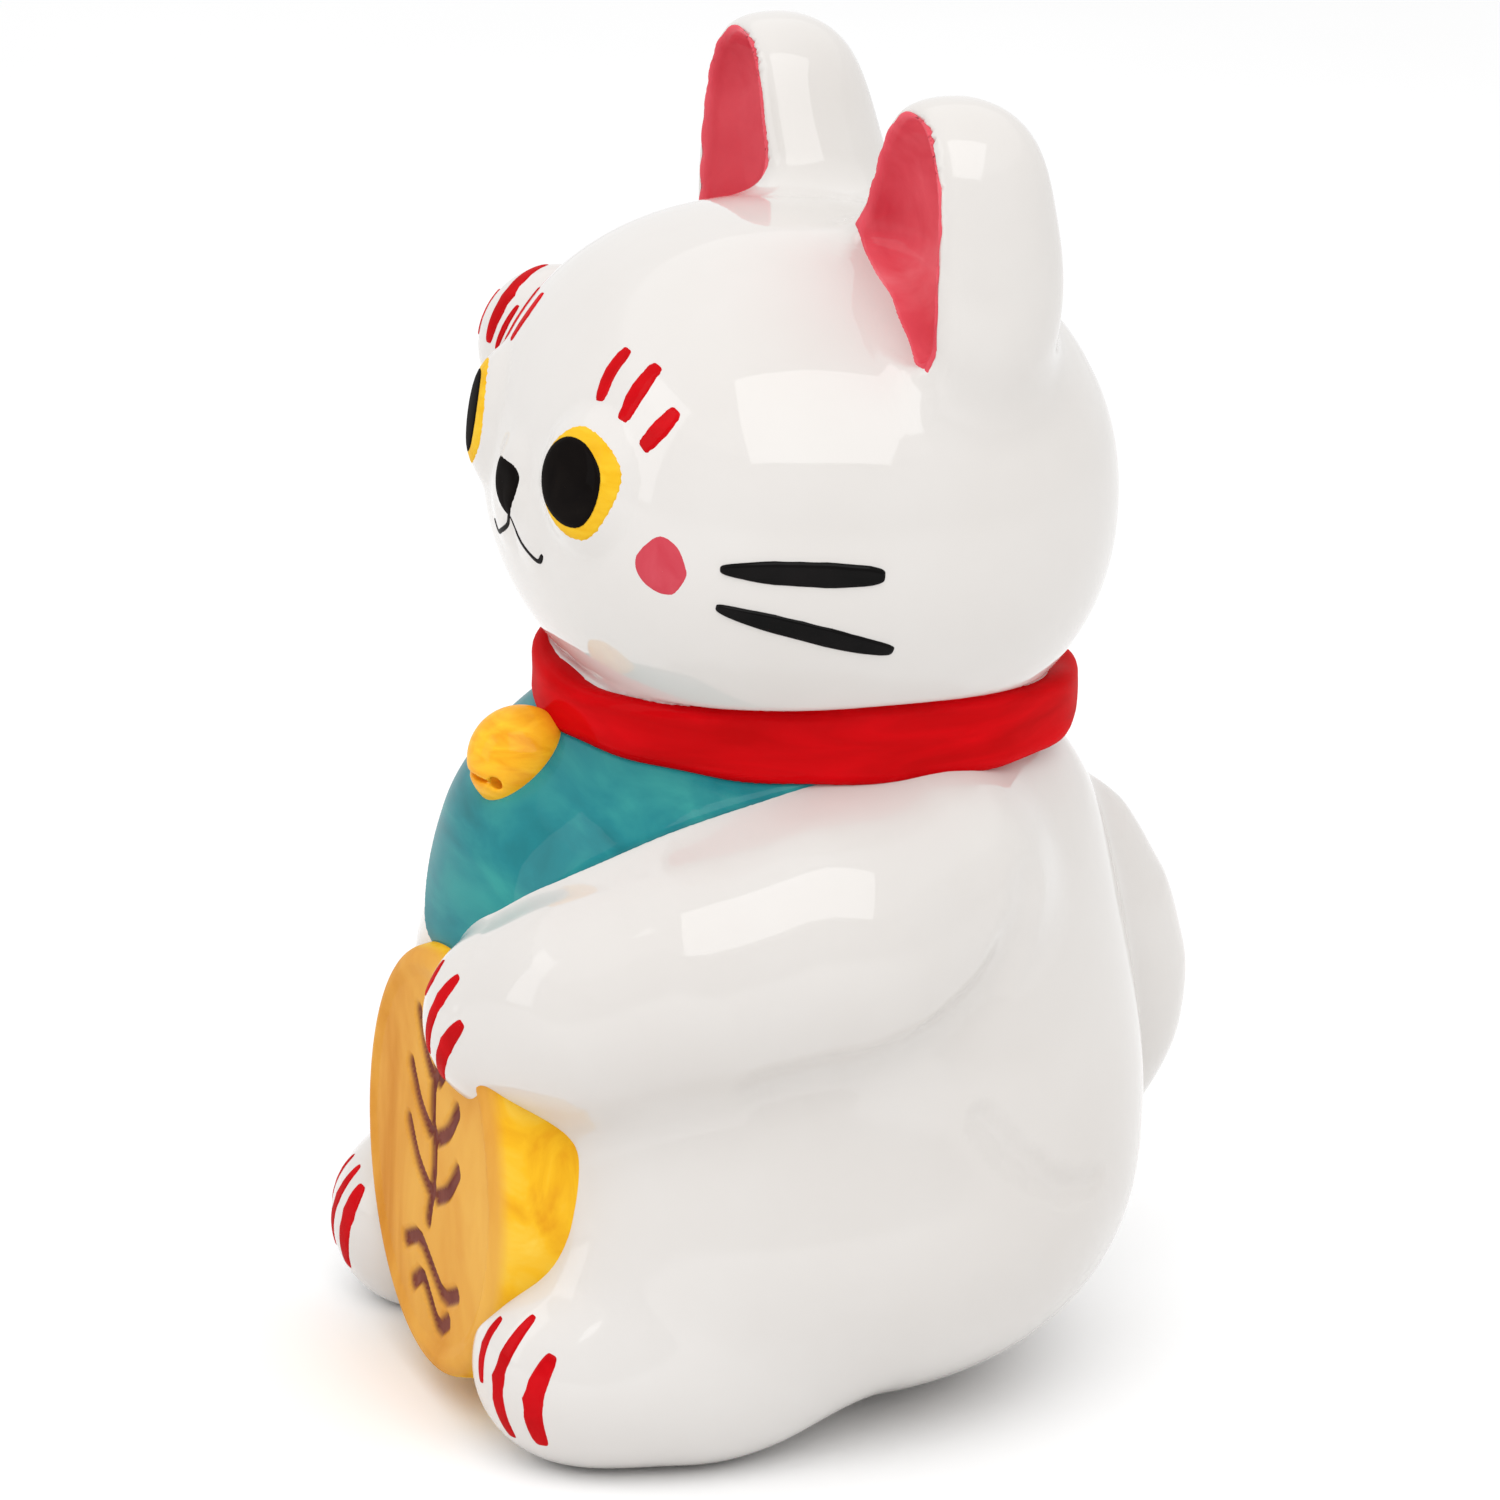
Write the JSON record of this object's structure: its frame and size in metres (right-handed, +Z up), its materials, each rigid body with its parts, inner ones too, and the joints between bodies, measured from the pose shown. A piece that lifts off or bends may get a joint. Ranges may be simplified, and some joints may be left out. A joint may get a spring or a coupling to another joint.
{
  "type": "beckoning cat figurine",
  "caption": "Seated beckoning-cat coin bank in glazed ceramic: raised paw, collar, bell, bib, oval coin, slot behind the head and a pull-out base stopper.",
  "frame": {"origin": "centre of the bounding box on the floor plane under the cat", "axes": "+Z up, the cat looks along -Y, the cat's left side is +X"},
  "size_m": [0.1004, 0.1018, 0.1615],
  "materials": {
    "white_glaze": "clear gloss glaze over white earthenware",
    "red_glaze": "gloss, brushed red glaze",
    "teal_glaze": "gloss, translucent brushed teal glaze",
    "gold_glaze": "gloss, golden yellow to ochre glaze",
    "black_glaze": "raised gloss black enamel line",
    "yellow_glaze": "gloss yellow enamel",
    "pink_glaze": "brushed translucent rose glaze",
    "stopper_rubber": "matt soft rubber"
  },
  "bodies": {
    "bank": {"body_shell": "white_glaze", "head_shell": "white_glaze", "ear_left": "white_glaze", "ear_right": "white_glaze", "holding_arm": "white_glaze", "raised_arm": "white_glaze", "foot_left": "white_glaze", "foot_right": "white_glaze", "tail": "white_glaze", "collar_band": "red_glaze", "bib_panel": "teal_glaze", "bell": "gold_glaze", "koban_plaque": "gold_glaze"},
    "stopper": {"base_stopper": "stopper_rubber"}
  },
  "joints": [
    {"name": "stopper_pull", "type": "slide", "parent": "bank", "child": "stopper", "axis": [0, 0, -1], "range_m": [0, 0.02]}
  ]
}
